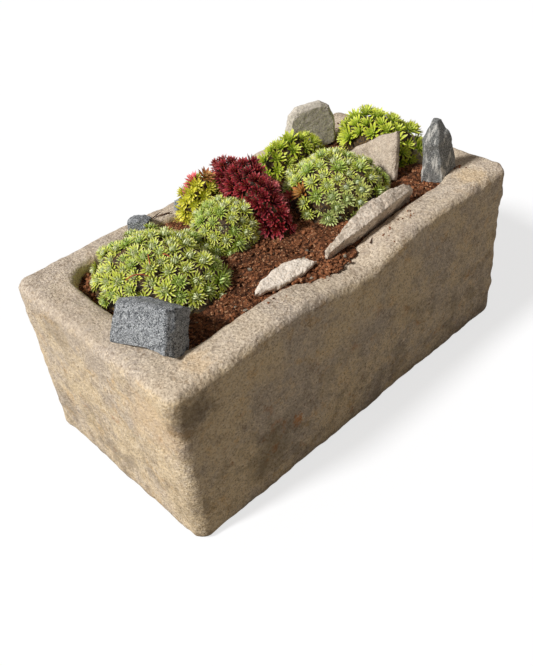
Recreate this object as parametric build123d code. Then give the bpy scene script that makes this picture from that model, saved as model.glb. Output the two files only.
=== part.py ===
"""A planted stone trough: a hand-cut sandstone water trough, reused as an alpine planter.

Millimetres, +Z up. The origin is on the floor, at the middle of the trough's foot. The long walls run along X,
and the front long wall, with its low worn stretch of rim, faces -Y. The hollow holds, from the floor up,
terracotta crocks over the drain hole, a gravel layer, compost, and the stones and houseleeks bedded in it.
"""

from build123d import *
import os
from math import acos, cos, pi, radians, sin, sqrt

# The trough's outside.
trough_length = 820.0
trough_width = 440.0
trough_height = 350.0  # floor to the highest stretch of the rim
near_batter = 1.0  # how far each wall leans in from the rim to the foot
far_batter = 5.0
front_batter = 10.0
back_flare = 4.0  # how far the back wall leans out from the rim to the foot
corner_radius = 24.0
foot_chamfer = 8.0
rim_outer_round = 17.0
rim_inner_round = 11.0

# The hollow.
front_wall = 66.0  # thickness at the rim
back_wall = 52.0
near_wall = 69.0
far_wall = 80.0
floor_thickness = 74.0
hollow_corner_radius = 52.0
hollow_batter = 15.0  # how far each inner face leans in from the rim to the hollow's floor
hollow_floor_fillet = 26.0

# The rim's wear: each drop is below trough_height, at a share of the length from the near end.
front_rim_drops = ((0.0, 16.0), (0.14, 12.0), (0.24, 7.0), (0.37, 13.0), (0.47, 32.0), (0.53, 31.0), (0.62, 13.0),
                   (0.78, 5.0), (1.0, 8.0))
rim_overrun = 0.06  # how far a profile runs on past its ends, as a share of its length
back_rim_drops = ((0.0, 1.0), (0.18, 5.0), (0.36, 9.0), (0.47, 11.0), (0.66, 6.0), (0.85, 8.0), (1.0, 9.0))
scoop_place = -22.0  # the worn scoop's middle, from the trough's middle
scoop_half_length = 88.0
scoop_reach = 38.0  # how far the scoop eats into the front wall
scoop_depth = 34.0

# The drain.
drain_place = -180.0  # the drain's middle, from the trough's middle
drain_radius = 15.0
crock_radius = 46.0
crock_thickness = 7.0
crock_rise = 30.0  # the lower crock's height over the floor
crock_length = 84.0
upper_crock_length = 52.0
upper_crock_shift = 14.0
gravel_depth = 52.0

# The compost lies below the rim by these drops, at shares of the hollow's length.
front_soil_drops = ((0.0, 28.0), (0.18, 29.0), (0.36, 26.0), (0.48, 24.0), (0.62, 23.0), (0.8, 19.0), (1.0, 18.0))
middle_soil_drops = ((0.0, 30.0), (0.2, 18.0), (0.4, 13.0), (0.55, 9.0), (0.7, 11.0), (0.85, 13.0), (1.0, 17.0))
back_soil_drops = ((0.0, 29.0), (0.25, 24.0), (0.5, 21.0), (0.75, 19.0), (1.0, 18.0))

# The stones: an outline is drawn in the stone's own plane, along it and up it.
# A seat is the stone's place in shares of the hollow's half sizes, then its front's heading, its tilt and its roll.
slab_sections = ((-0.5, 0.9), (-0.2, 1.0), (0.25, 1.0), (0.5, 0.9))  # shares of the depth and of the outline
touching_corners = 8  # a stone comes to rest on one of this many lowest corners
bedding_depth = 9.0  # how deep a stone stands in the compost or against the rim
resting_depth = 2.5
sett_outline = ((-63, -37), (-56, 32), (-18, 36), (55, 33), (58, -41), (12, -35))
sett_depth = 56.0
sett_seat = ((-0.983, -0.62), 190.0, 31.0, 9.0)
sett_bedding = 18.0
large_granite_outline = ((-20, -11), (-18, 9), (5, 12), (19, 6), (17, -12))
large_granite_depth = 33.0
large_granite_seat = ((-0.469, 1.07), 215.0, 8.0, 0.0)
small_granite_outline = ((-15, -9), (-12, 7), (4, 10), (14, 5), (12, -9))
small_granite_depth = 25.0
small_granite_seat = ((-0.195, 1.04), 240.0, -6.0, 0.0)
upright_outline = ((-50, -12), (-56, 38), (-47, 66), (-30, 79), (22, 82), (40, 71), (50, 42), (48, -8), (4, -16))
upright_depth = 24.0
upright_seat = ((0.775, 0.87), 248.0, 4.0, 0.0)
triangle_outline = ((-70, 6), (-18, 45), (16, 70), (48, 84), (60, 34), (66, -5), (4, -12), (-44, -6))
triangle_depth = 19.0
triangle_seat = ((0.751, -0.12), 180.0, 20.0, 0.0)
splinter_sections = ((-110, 8, 12), (-62, 19, 30), (-4, 30, 47), (52, 21, 45), (98, 15, 38), (116, 9, 28))
splinter_foot = -10.0
splinter_front = 0.8  # the front edge's height, as a share of the back edge's
splinter_root = 0.7  # the foot's thickness, as a share of the thickness
leaning_seat = ((0.303, -0.92), 272.0, -15.0, 0.0)
flat_outline = ((-59, -16), (-36, 5), (-8, 14), (24, 20), (48, 14), (66, -2), (34, -14), (-14, -20))
flat_depth = 13.0
flat_shift = -0.83  # the flat slab's place across the hollow, as a share of its half width
slab_gap = 21.0  # along the hollow, between the flat slab and the leaning slab
rock_height = 128.0
rock_place = (0.94, -0.83)
rock_foot = ((-38, 8), (-14, -26), (38, -20), (34, 12), (-10, 26))
rock_shoulder = ((-34, 7), (-22, -16), (12, -19), (11, 5), (-19, 18))
rock_shoulder_share = 0.66
rock_tip = ((-19, -1), (-16, -8), (-7, -9), (-6, -2), (-12, 3))

# The houseleeks: every clump is a cushion of rosettes on the root ball that it was planted with.
cushion_sides = 12
cushion_skirt = 16.0  # how far a cushion reaches into the compost
cushion_rings = (90.0, 64.0, 40.0, 16.0)  # degrees from the cushion's top
root_share = 0.5  # a root ball's radius, as a share of its cushion's smaller reach
root_ball_taper = 5.0
root_ball_depth = 62.0
rosette_points = 6
rosette_notch = 0.58  # the star's inner radius, as a share of its tip radius
rosette_foot = 0.8  # how far a rosette's foot goes down, as a share of its radius
rosette_crown = 0.3  # how far its bud stands over the leaf tips, as a share of its radius
rosette_rise = 0.32  # how far the leaf tips stand off the cushion, as a share of the radius
rosette_spacing = 1.86  # least distance between two rosettes, as a share of the radius
rosette_limit = 68.0  # degrees from the cushion's top to the lowest rosettes
rosette_tries = 90
golden_turn = pi * (3.0 - sqrt(5.0))
cut_spare = 30.0  # how far a cutting solid reaches past what it cuts

half_length = trough_length / 2
half_width = trough_width / 2
hollow_half_length = (trough_length - near_wall - far_wall) / 2
hollow_half_width = (trough_width - front_wall - back_wall - back_flare) / 2
hollow_middle = ((near_wall - far_wall) / 2, (front_wall - back_wall - back_flare) / 2)
gravel_top = floor_thickness + gravel_depth
leaning_end = leaning_seat[0][0] * hollow_half_length + splinter_sections[0][0]
flat_reach = max(x for x, y in flat_outline)
flat_seat = (((leaning_end - slab_gap - flat_reach) / hollow_half_length, flat_shift), 255.0, 72.0, 0.0)


class Clump:
    """A clump of houseleeks: its place as shares of the hollow's half sizes, its reaches and its rosettes' radius."""

    def __init__(self, place, reach, height, turn, rosette_radius):
        self.place = place
        self.reach = reach
        self.height = height
        self.turn = turn
        self.rosette_radius = rosette_radius

    def covers(self, point, spare):
        """Whether the cushion's footprint, made wider by spare, covers the point."""
        x, y = place_in_hollow(self.place)
        away = Vector(point.X - x, point.Y - y, 0).rotate(Axis.Z, -self.turn)
        return (away.X / (self.reach[0] + spare)) ** 2 + (away.Y / (self.reach[1] + spare)) ** 2 < 1

    def overhangs_rim(self):
        """Whether the clump reaches over the trough's rim."""
        reaches = zip(self.place, self.reach, (hollow_half_length, hollow_half_width))
        return any(abs(share) * half + reach + cushion_skirt > half for share, reach, half in reaches)


clumps = {
    "near_clump": Clump((-0.662, 0.225), (101.0, 128.0), 68.0, 12.0, 23.0),
    "middle_clump": Clump((-0.208, 0.21), (64.0, 62.0), 62.0, 0.0, 22.0),
    "yellow_clump": Clump((-0.105, 0.85), (54.0, 40.0), 74.0, 0.0, 23.0),
    "red_clump": Clump((0.03, 0.38), (42.0, 112.0), 88.0, -9.0, 20.0),
    "centre_clump": Clump((0.42, -0.2), (91.0, 90.0), 70.0, 0.0, 23.0),
    "back_clump": Clump((0.53, 0.76), (78.0, 38.0), 63.0, 0.0, 23.0),
    "far_clump": Clump((0.985, 0.17), (64.0, 94.0), 68.0, 0.0, 25.0),
}


def place_in_hollow(shares):
    """The point at these shares of the hollow's half sizes, from the hollow's middle."""
    x = hollow_middle[0] + shares[0] * hollow_half_length
    y = hollow_middle[1] + shares[1] * hollow_half_width
    return x, y


def rounded_section(rim, leans, radius, share, level, inset=0.0):
    """A rectangle with rounded corners: the rim's four sides, less a share of their leans and an inset."""
    near, far, front, back = (side - share * lean - inset for side, lean in zip(rim, leans))
    place = Pos((far - near) / 2, (back - front) / 2, level)
    return place * RectangleRounded(near + far, front + back, radius - inset)


def profile_face(drops, length, level, y, low):
    """A face in the plane at y, whose top follows the drops below level along the length and whose foot is at low."""
    points = [(share * length - length / 2, level - drop) for share, drop in drops]
    spare = rim_overrun * length
    first = (points[0][0] - spare, points[0][1])
    last = (points[-1][0] + spare, points[-1][1])
    top = Spline(first, *points, last)
    sides = Polyline(last, (last[0], low), (first[0], low), first)
    return Plane(origin=(0, y, 0), x_dir=(1, 0, 0), z_dir=(0, -1, 0)) * make_face(top + sides)


def block_under(profiles, length, level, low):
    """The solid under a surface that blends from profile to profile. Each profile is its y and its drops."""
    faces = [profile_face(drops, length, level, y, low) for y, drops in profiles]
    return loft(Sketch() + faces, ruled=True)


def top_of(solids, x, y):
    """The level where a vertical line through x and y meets the highest of the solids."""
    line = Axis((x, y, 2 * trough_height), (0, 0, -1))
    levels = [point.Z for solid in solids for point, _ in solid.find_intersection_points(line)]
    return max(levels, default=0.0)


def make_hollow():
    """The hollow as a solid: leaning walls, round corners and a round edge all round its floor."""
    near, far = half_length - near_wall, half_length - far_wall
    front, back = half_width - front_wall, half_width - back_flare - back_wall
    rim = (near, far, front, back)
    leans = [hollow_batter] * 4
    above = -cut_spare / (trough_height - floor_thickness)
    floor = rounded_section(rim, leans, hollow_corner_radius, 1.0, floor_thickness)
    mouth = rounded_section(rim, leans, hollow_corner_radius, above, trough_height + cut_spare)
    hollow = loft(Sketch() + [floor, mouth], ruled=True)
    return fillet(hollow.edges().group_by(Axis.Z)[0], hollow_floor_fillet)


def make_scoop():
    """The worn scoop in the front wall's inner edge: a long, shallow bowl."""
    bowl = scale(Sphere(scoop_depth), by=(scoop_half_length / scoop_depth, scoop_reach / scoop_depth, 1))
    return Pos(scoop_place, hollow_middle[1] - hollow_half_width, trough_height) * bowl


def make_trough(hollow, scoop):
    """The trough: battered block, worn rim with round arrises, hollow, worn scoop and drain hole."""
    rim = (half_length, half_length, half_width, half_width - back_flare)
    leans = (near_batter, far_batter, front_batter, -back_flare)
    foot = rounded_section(rim, leans, corner_radius, 1.0, 0.0, foot_chamfer)
    low = rounded_section(rim, leans, corner_radius, 1.0 - foot_chamfer / trough_height, foot_chamfer)
    above = rounded_section(rim, leans, corner_radius, -cut_spare / trough_height, trough_height + cut_spare)
    block = loft(Sketch() + [foot, low, above], ruled=True)
    profiles = ((-half_width - cut_spare, front_rim_drops), (half_width + cut_spare, back_rim_drops))
    body = block & block_under(profiles, trough_length, trough_height, -cut_spare)
    body -= hollow
    rim = body.faces().sort_by(Axis.Z)[-1]
    body = fillet(rim.outer_wire().edges(), rim_outer_round)
    rim = body.faces().filter_by(lambda face: face.inner_wires()).sort_by(Axis.Z)[-1]
    body = fillet(rim.inner_wires()[0].edges(), rim_inner_round)
    body -= Pos(drain_place, 0, floor_thickness / 2) * Cylinder(drain_radius, 2 * floor_thickness)
    return body - scoop


def make_crocks():
    """Two curved shards of a terracotta pot, one arched over the drain hole and one on its back, and their space."""
    inner_radius = crock_radius - crock_thickness
    axis_level = floor_thickness + crock_rise - crock_radius
    foot = Pos(0, 0, floor_thickness + crock_radius) * Box(2 * crock_length, 4 * crock_radius, 2 * crock_radius)
    along = Rot(0, 90, 0)
    lower = along * (Cylinder(crock_radius, crock_length) - Cylinder(inner_radius, 2 * crock_length))
    lower = Pos(0, 0, axis_level) * lower & foot
    outer = Cylinder(crock_radius + crock_thickness, upper_crock_length)
    upper = along * (outer - Cylinder(crock_radius, 2 * upper_crock_length))
    upper = Pos(upper_crock_shift, 0, axis_level) * upper
    cut_level = floor_thickness + crock_thickness
    upper &= Pos(0, 0, cut_level + crock_radius) * Box(2 * crock_length, 4 * crock_radius, 2 * crock_radius)
    arch = Pos(0, 0, axis_level) * along * Cylinder(crock_radius, crock_length) & foot
    return [Pos(drain_place) * piece for piece in (lower, upper, arch)]


def make_gravel(hollow, upper, arch):
    """The drainage gravel: it fills the hollow's foot, but for the crocks and the space under them."""
    layer = Pos(0, 0, floor_thickness + gravel_depth / 2) * Box(trough_length, trough_width, gravel_depth)
    return hollow & layer - arch - upper


def make_compost_block(hollow, scoop):
    """The compost before the stones and plants are set in it. It spills into the scoop in the rim."""
    front = hollow_middle[1] - hollow_half_width - scoop_reach
    back = hollow_middle[1] + hollow_half_width + scoop_reach
    profiles = ((front, front_soil_drops), (hollow_middle[1], middle_soil_drops), (back, back_soil_drops))
    soil = block_under(profiles, 2 * hollow_half_length, trough_height, gravel_top)
    return (hollow + scoop) & Pos(hollow_middle[0]) * soil


def stone_slab(outline, depth):
    """A broken stone: its outline through its middle, and two smaller, chipped outer faces."""
    sections = []
    for level, share in slab_sections:
        points = [(share * x, share * y) for x, y in outline]
        sections.append(Plane.XY.offset(level * depth) * make_face(Polyline(*points, close=True)))
    return loft(Sketch() + sections, ruled=True)


def make_splinter():
    """The leaning slab: a long splinter, thickest near its middle, whose broken top slopes down to its front."""
    sections = []
    for along, thickness, height in splinter_sections:
        foot = splinter_root * thickness / 2
        points = ((-foot, splinter_foot), (foot, splinter_foot), (thickness / 2, splinter_front * height),
                  (-thickness / 2, height))
        across = Plane(origin=(along, 0, 0), x_dir=(0, 0, 1), z_dir=(-1, 0, 0))
        sections.append(across * make_face(Polyline(*points, close=True)))
    return loft(Sketch() + sections, ruled=True)


def stand(stone, seat, ground, depth):
    """Sets a stone up on the ground: its seat's tilt leans its top back, and depth sinks its foot."""
    place, facing, tilt, roll = seat
    x, y = place_in_hollow(place)
    stone = Pos(x, y) * Rot(0, 0, facing + 90) * Rot(90 - tilt, 0, 0) * Rot(0, 0, roll) * stone
    lowest = stone.vertices().sort_by(Axis.Z)[:touching_corners]
    drop = max(top_of(ground, corner.X, corner.Y) - corner.Z for corner in lowest)
    return Pos(0, 0, drop - depth) * stone


def make_rock(ground):
    """The pointed rock: a foot of five corners, drawn in to a shoulder and a tip."""
    sections = []
    for share, outline in ((0.0, rock_foot), (rock_shoulder_share, rock_shoulder), (1.0, rock_tip)):
        face = make_face(Polyline(*outline, close=True))
        sections.append(Plane.XY.offset(share * rock_height) * face)
    rock = loft(Sketch() + sections, ruled=True)
    x, y = place_in_hollow(rock_place)
    return Pos(x, y, top_of(ground, x, y) - bedding_depth) * rock


def make_stones(trough, soil):
    """All the stones, each bedded in the compost or resting on the rim."""
    ground = (trough, soil)
    large = stone_slab(large_granite_outline, large_granite_depth)
    small = stone_slab(small_granite_outline, small_granite_depth)
    stones = {
        "granite_sett": stand(stone_slab(sett_outline, sett_depth), sett_seat, ground, sett_bedding),
        "large_granite": stand(large, large_granite_seat, ground, resting_depth),
        "small_granite": stand(small, small_granite_seat, ground, resting_depth),
        "upright_slab": stand(stone_slab(upright_outline, upright_depth), upright_seat, ground, bedding_depth),
        "triangular_slab": stand(stone_slab(triangle_outline, triangle_depth), triangle_seat, ground, bedding_depth),
        "leaning_slab": stand(make_splinter(), leaning_seat, ground, bedding_depth),
        "flat_slab": stand(stone_slab(flat_outline, flat_depth), flat_seat, ground, resting_depth),
        "pointed_rock": make_rock(ground),
    }
    return {name: stone - trough for name, stone in stones.items()}


def cushion_ring(clump, share, level):
    """A many-sided outline of a clump's cushion, drawn in to a share of its reach, at a level over its place."""
    corners = []
    for side in range(cushion_sides):
        turn = 2 * pi * side / cushion_sides
        corners.append((clump.reach[0] * share * cos(turn), clump.reach[1] * share * sin(turn)))
    return Plane.XY.offset(level) * make_face(Polyline(*corners, close=True))


def make_footing(clump, level, over):
    """The part of a clump that stands in the compost, up to over its level: the skirt and the root ball under it."""
    skirt = loft(Sketch() + [cushion_ring(clump, 1.0, -cushion_skirt), cushion_ring(clump, 1.0, over)], ruled=True)
    radius = root_share * min(clump.reach)
    foot = Plane.XY.offset(-root_ball_depth) * Circle(radius - root_ball_taper)
    ball = loft(Sketch() + [foot, Plane.XY.offset(-cushion_skirt / 2) * Circle(radius)], ruled=True)
    return Pos(*place_in_hollow(clump.place), level) * Rot(0, 0, clump.turn) * (skirt + ball)


def make_cushion(clump, level):
    """A clump's leafy cushion: a faceted dome on its footing."""
    rings = [cushion_ring(clump, sin(radians(angle)), clump.height * cos(radians(angle))) for angle in cushion_rings]
    dome = Pos(*place_in_hollow(clump.place), level) * Rot(0, 0, clump.turn) * loft(Sketch() + rings, ruled=True)
    return dome + make_footing(clump, level, 0.0)


def make_rosette(radius):
    """One rosette: a star of leaf tips, drawn down to its foot and up to its bud."""
    tips = []
    for point in range(2 * rosette_points):
        reach = radius if point % 2 == 0 else radius * rosette_notch
        turn = pi * point / rosette_points
        tips.append((reach * cos(turn), reach * sin(turn), 0))
    star = Wire.make_polygon(tips)
    foot = Vertex(0, 0, -rosette_foot * radius)
    bud = Vertex(0, 0, rosette_crown * radius)
    return Solid.make_loft([foot, star, bud], ruled=True)


def clear_of(point, reach, boxed):
    """Whether the point is farther than reach from every solid. Each solid comes with its box."""
    for solid, box in boxed:
        gap = max(box.min.X - point.X, point.X - box.max.X, box.min.Y - point.Y, point.Y - box.max.Y)
        if gap < reach and solid.distance_to(Vertex(*point)) < reach:
            return False
    return True


def rosette_seats(name, level, stones):
    """Where a clump's rosettes sit: planes on its dome along a golden spiral, clear of stones and other clumps."""
    clump = clumps[name]
    others = [other for other in clumps.values() if other is not clump]
    middle = Pos(*place_in_hollow(clump.place), level) * Rot(0, 0, clump.turn)
    half_axes = (*clump.reach, clump.height)
    radius = clump.rosette_radius
    kept = []
    for step in range(rosette_tries):
        polar = acos(1 - (step + 0.5) / rosette_tries * (1 - cos(radians(rosette_limit))))
        turn = step * golden_turn
        ray = (sin(polar) * cos(turn), sin(polar) * sin(turn), cos(polar))
        point = Vector(*(axis * part for axis, part in zip(half_axes, ray)))
        normal = Vector(*(part / axis for axis, part in zip(half_axes, ray))).normalized()
        seat = middle * Plane(point + normal * rosette_rise * radius, z_dir=normal).location
        centre = seat.position
        inside = abs(centre.X - hollow_middle[0]) + radius < hollow_half_length
        inside = inside and abs(centre.Y - hollow_middle[1]) + radius < hollow_half_width
        crowded = any((centre - other.position).length < rosette_spacing * radius for other in kept)
        if crowded or not (inside or centre.Z - radius > trough_height):
            continue
        if not any(other.covers(centre, radius) for other in others) and clear_of(centre, radius, stones):
            kept.append(seat)
    return kept


def boxes_meet(box, other):
    """Whether two bounding boxes meet."""
    apart = (other.min.X - box.max.X, box.min.X - other.max.X, other.min.Y - box.max.Y, box.min.Y - other.max.Y)
    return max(apart) < 0


def make_rim_guard(hollow):
    """The space that the walls take up, to the rim's highest level. Leaves over the rim stay clear of it."""
    return Pos(0, 0, trough_height / 2) * Box(trough_length, trough_width, trough_height) - hollow


def make_cushions(levels, guard, stones):
    """The clumps without their rosettes. Where two meet, the earlier keeps its shape."""
    placed = list(stones)
    cushions = {}
    for name, clump in clumps.items():
        cushion = make_cushion(clump, levels[name])
        box = cushion.bounding_box()
        tools = [solid for solid, other in placed if boxes_meet(box, other)]
        if clump.overhangs_rim():
            tools.append(guard)
        if tools:
            cushion = cushion.cut(*tools)
        cushions[name] = cushion
        placed.append((cushion, box))
    return cushions


def make_clumps(cushions, levels, stones):
    """Every clump: its cushion with its rosettes."""
    planted = {}
    for name, clump in clumps.items():
        rosette = make_rosette(clump.rosette_radius)
        seats = rosette_seats(name, levels[name], stones)
        planted[name] = cushions[name].fuse(*(rosette.moved(seat) for seat in seats))
    return planted


if __name__ == "__main__":
    os.makedirs("parts", exist_ok=True)
    hollow = make_hollow()
    scoop = make_scoop()
    trough = make_trough(hollow, scoop)
    lower_crock, upper_crock, arch = make_crocks()
    gravel = make_gravel(hollow, upper_crock, arch)
    compost = make_compost_block(hollow, scoop)
    stones = make_stones(trough, compost)
    levels = {name: top_of((compost,), *place_in_hollow(clump.place)) for name, clump in clumps.items()}
    boxed = [(stone, stone.bounding_box()) for stone in stones.values()]
    cushions = make_cushions(levels, make_rim_guard(hollow), boxed)
    planted = make_clumps(cushions, levels, boxed)
    footings = [make_footing(clump, levels[name], cushion_skirt) for name, clump in clumps.items()]
    compost = compost.cut(*stones.values(), *footings)
    pieces = {
        "trough": trough,
        "lower_crock": lower_crock,
        "upper_crock": upper_crock,
        "drainage_gravel": gravel,
        "compost": compost,
        **stones,
        **planted,
    }
    for name, piece in pieces.items():
        export_step(piece, f"parts/{name}.step")
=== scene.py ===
"""The looks of a planted stone water trough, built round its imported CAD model.

Metres, +Z up, in the CAD model's frame: the origin is under the middle of the trough, the worn front wall faces -Y.
"""

import logging
import random
from dataclasses import dataclass, field
from enum import Enum
from math import acos, cos, exp, pi, radians, sin, sqrt
from typing import Callable, Iterable, Sequence

import bmesh
import bpy
from mathutils import Matrix, Vector, noise
from mathutils.bvhtree import BVHTree


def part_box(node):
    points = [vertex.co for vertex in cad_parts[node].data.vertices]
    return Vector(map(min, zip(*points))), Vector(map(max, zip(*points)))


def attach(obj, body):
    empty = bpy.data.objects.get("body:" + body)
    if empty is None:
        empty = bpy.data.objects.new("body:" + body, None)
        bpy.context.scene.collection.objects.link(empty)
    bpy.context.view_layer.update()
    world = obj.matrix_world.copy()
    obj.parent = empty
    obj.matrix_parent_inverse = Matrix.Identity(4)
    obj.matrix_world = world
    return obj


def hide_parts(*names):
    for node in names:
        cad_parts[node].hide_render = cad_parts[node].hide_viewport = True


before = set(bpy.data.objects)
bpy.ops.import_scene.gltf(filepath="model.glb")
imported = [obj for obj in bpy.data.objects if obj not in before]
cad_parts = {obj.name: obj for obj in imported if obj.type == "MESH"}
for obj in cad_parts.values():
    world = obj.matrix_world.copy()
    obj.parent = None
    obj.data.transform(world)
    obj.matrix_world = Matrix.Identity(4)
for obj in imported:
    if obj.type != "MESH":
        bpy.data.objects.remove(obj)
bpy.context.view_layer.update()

log = logging.getLogger("planted_trough")

MM = 0.001
GOLDEN_TURN = pi * (3 - sqrt(5))
PIT = 0.35  # a pit's radius, as a share of the distance between pits
RIM_FROM = 0.3  # what faces up on the trough above this height, in metres, is its rim
DOWN = Vector((0, 0, -1))
STONES = ("granite_sett", "large_granite", "small_granite", "upright_slab", "triangular_slab", "pointed_rock",
          "leaning_slab", "flat_slab")
LEAF_VALUES = ("along", "ring", "tone")  # a point's place along its leaf, the leaf's in its rosette, the rosette's tone
Colour = tuple[float, float, float, float]
Place = tuple[float, float, float]


def tone(red: int, green: int, blue: int) -> Colour:
    """Turns a screen colour into the linear colour that shaders use.

    Args:
        red: The red part, from 0 to 255.
        green: The green part.
        blue: The blue part.

    Returns:
        The linear colour, with an alpha of 1.
    """
    parts = [part / 255 for part in (red, green, blue)]
    linear = [part / 12.92 if part < 0.04045 else ((part + 0.055) / 1.055) ** 2.4 for part in parts]
    return linear[0], linear[1], linear[2], 1.0


class Signal:
    """A shader socket that formulas can be written with."""

    def __init__(self, graph: "Network", socket: bpy.types.NodeSocket) -> None:
        """Wraps a socket of a node in the graph."""
        self.graph = graph
        self.socket = socket

    def __add__(self, other: "Signal | float") -> "Signal":
        """Adds a signal or a number."""
        return self.graph.math("ADD", self, other)

    def __radd__(self, other: float) -> "Signal":
        """Is added to a number."""
        return self.graph.math("ADD", other, self)

    def __sub__(self, other: "Signal | float") -> "Signal":
        """Takes away a signal or a number."""
        return self.graph.math("SUBTRACT", self, other)

    def __rsub__(self, other: float) -> "Signal":
        """Is taken away from a number."""
        return self.graph.math("SUBTRACT", other, self)

    def __mul__(self, other: "Signal | float") -> "Signal":
        """Multiplies by a signal or a number."""
        return self.graph.math("MULTIPLY", self, other)

    def __rmul__(self, other: float) -> "Signal":
        """Multiplies a number."""
        return self.graph.math("MULTIPLY", other, self)

    def step(self, low: float, high: float) -> "Signal":
        """Goes from 0 at low to 1 at high on a smooth curve.

        Args:
            low: Where the step begins.
            high: Where it ends. It may be lower than low, which turns the step round.

        Returns:
            The stepped signal.
        """
        ramp = self.graph.node("ShaderNodeMapRange", {"interpolation_type": "SMOOTHSTEP"},
                               {"Value": self, "From Min": low, "From Max": high})
        return Signal(self.graph, ramp.outputs["Result"])


class Network:
    """A node tree, built from formulas."""

    def __init__(self, tree: bpy.types.NodeTree) -> None:
        """Starts on a node tree."""
        self.tree = tree

    def node(self, kind: str, settings: dict | None = None, inputs: dict | None = None) -> bpy.types.Node:
        """Adds any node.

        Args:
            kind: The node's type.
            settings: Its properties.
            inputs: What each of its inputs is fed with, by name or number.

        Returns:
            The new node.
        """
        made = self.tree.nodes.new(kind)
        for key, value in (settings or {}).items():
            setattr(made, key, value)
        for key, value in (inputs or {}).items():
            self.feed(made.inputs[key], value)
        return made

    def feed(self, socket: bpy.types.NodeSocket, value: object) -> None:
        """Links a signal to a socket, or sets the socket to a value.

        Args:
            socket: The socket.
            value: The signal, another node's socket or the value.
        """
        if isinstance(value, Signal):
            self.tree.links.new(value.socket, socket)
        elif isinstance(value, bpy.types.NodeSocket):
            self.tree.links.new(value, socket)
        else:
            socket.default_value = value

    def math(self, operation: str, first: Signal | float, second: Signal | float) -> Signal:
        """Calculates with two values."""
        made = self.node("ShaderNodeMath", {"operation": operation}, {0: first, 1: second})
        return Signal(self, made.outputs[0])

    def seen(self) -> Signal:
        """Tells what the camera sees from what lights the object.

        Returns:
            1 for what the camera sees, also in a mirror or through glass, and 0 for the rest.
        """
        path = self.node("ShaderNodeLightPath").outputs
        camera = Signal(self, path["Is Camera Ray"])
        return camera + Signal(self, path["Is Glossy Ray"]) + Signal(self, path["Is Transmission Ray"])


class Graph(Network):
    """A material's shader."""

    def __init__(self, name: str) -> None:
        """Starts a material.

        Args:
            name: Its name.
        """
        self.material = bpy.data.materials.new(name)
        self.material.use_nodes = True
        super().__init__(self.material.node_tree)
        self.shader = self.tree.nodes["Principled BSDF"]
        self.place = self.node("ShaderNodeTexCoord").outputs["Object"]

    def noise(self, size: float, detail: float, rough: float, stretch: Sequence[float] = (1, 1, 1)) -> Signal:
        """Soft noise.

        Args:
            size: The size of its lumps, in metres.
            detail: How many finer layers it has.
            rough: How strong these are.
            stretch: How much longer the lumps are along X, Y and Z.

        Returns:
            A signal of about 0.3 to 0.7.
        """
        scaled = self.node("ShaderNodeMapping", None, {"Vector": self.place, "Scale": [1 / part for part in stretch]})
        made = self.node("ShaderNodeTexNoise", None, {"Vector": scaled.outputs[0], "Scale": 1 / size, "Detail": detail,
                                                      "Roughness": rough})
        return Signal(self, made.outputs[0])

    def cells(self, size: float) -> Signal:
        """Cell noise: the distance to the nearest grain, in grain sizes."""
        made = self.node("ShaderNodeTexVoronoi", None, {"Vector": self.place, "Scale": 1 / size})
        return Signal(self, made.outputs["Distance"])

    def grains(self, size: float) -> Signal:
        """Cell noise: one random value from 0 to 1 for each grain."""
        made = self.node("ShaderNodeTexVoronoi", None, {"Vector": self.place, "Scale": 1 / size})
        return Signal(self, self.node("ShaderNodeSeparateColor", None, {0: made.outputs["Color"]}).outputs[0])

    def near(self, middle: Sequence[float], reach: float) -> Signal:
        """A ragged spot: 1 in its middle and 0 beyond its reach.

        Args:
            middle: Its middle, in metres.
            reach: Its radius, in metres.

        Returns:
            The signal.
        """
        apart = self.node("ShaderNodeVectorMath", {"operation": "DISTANCE"}, {0: self.place, 1: tuple(middle)})
        ragged = Signal(self, apart.outputs["Value"]) + (self.noise(0.5 * reach, 5, 0.75) - 0.5) * (2.4 * reach)
        return ragged.step(reach, 0.3 * reach)

    def blend(self, share: Signal | float, first: object, second: object) -> Signal:
        """Mixes two colours: the first at 0 and the second at 1."""
        made = self.node("ShaderNodeMix", {"data_type": "RGBA"}, {0: share, 6: first, 7: second})
        return Signal(self, made.outputs[2])

    def attribute(self, name: str) -> Signal:
        """Reads a value that the mesh carries."""
        made = self.node("ShaderNodeAttribute", {"attribute_name": name})
        return Signal(self, made.outputs["Fac"])

    def upward(self) -> Signal:
        """How far the surface faces up, from -1 to 1."""
        split = self.node("ShaderNodeSeparateXYZ", None, {0: self.node("ShaderNodeNewGeometry").outputs["Normal"]})
        return Signal(self, split.outputs["Z"])

    def along(self, axis: str) -> Signal:
        """The place along one axis, in metres."""
        return Signal(self, self.node("ShaderNodeSeparateXYZ", None, {0: self.place}).outputs[axis])

    def finish(self, colour: Signal, rough: Signal | float, relief: Signal, depth: float, **constants: float) -> None:
        """Feeds the shader.

        Args:
            colour: The base colour.
            rough: The roughness.
            relief: The height that the bump follows.
            depth: How deep the bump is, in metres for a height of 1.
            constants: Other inputs of the shader, with spaces written as underscores.
        """
        bump = self.node("ShaderNodeBump", None, {"Height": relief, "Distance": depth})
        self.feed(self.shader.inputs["Base Color"], colour)
        self.feed(self.shader.inputs["Roughness"], rough)
        self.feed(self.shader.inputs["Normal"], bump.outputs[0])
        for key, value in constants.items():
            self.shader.inputs[key.replace("_", " ")].default_value = value


@dataclass(frozen=True)
class Finish:
    """A surface finish.

    Args:
        name: The material's name.
        slot: The record's material slot that it belongs to. It is not used.
    """

    name: str
    slot: str

    def shade(self, graph: Graph) -> None:
        """Builds the shader.

        Args:
            graph: The material's graph.
        """
        raise NotImplementedError

    def material(self) -> bpy.types.Material:
        """Gives the material, which is made the first time.

        Returns:
            The material.
        """
        if self.name not in bpy.data.materials:
            self.shade(Graph(self.name))
        return bpy.data.materials[self.name]


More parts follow.
